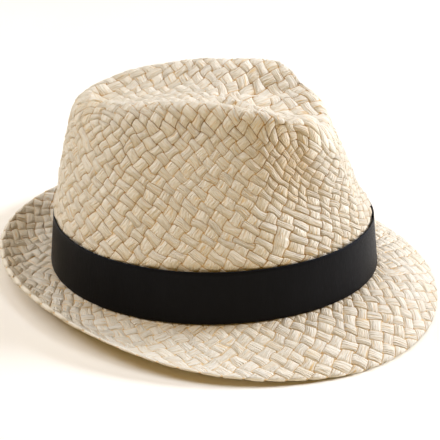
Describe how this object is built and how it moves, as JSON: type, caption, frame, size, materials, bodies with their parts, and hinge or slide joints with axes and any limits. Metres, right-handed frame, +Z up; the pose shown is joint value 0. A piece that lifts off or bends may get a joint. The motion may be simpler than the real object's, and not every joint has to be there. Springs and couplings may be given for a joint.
{
  "type": "trilby",
  "caption": "Woven straw trilby with a pinched teardrop crown, a brim turned down in front and up behind, and a plain dark ribbon band.",
  "frame": {"origin": "on the surface the hat stands on, under the centre of its bounding box", "axes": "+Z up, -Y towards the front of the hat, +X towards the wearer's left; the hat is symmetric about X = 0"},
  "size_m": [0.2514, 0.2814, 0.1327],
  "materials": {
    "crown_straw": "matt woven flat paper straw",
    "brim_straw": "matt woven flat paper straw",
    "ribbon": "fine ribbed black ribbon with a soft sheen"
  },
  "bodies": {
    "root": {"crown": "crown_straw", "brim": "brim_straw", "band": "ribbon"}
  },
  "joints": []
}
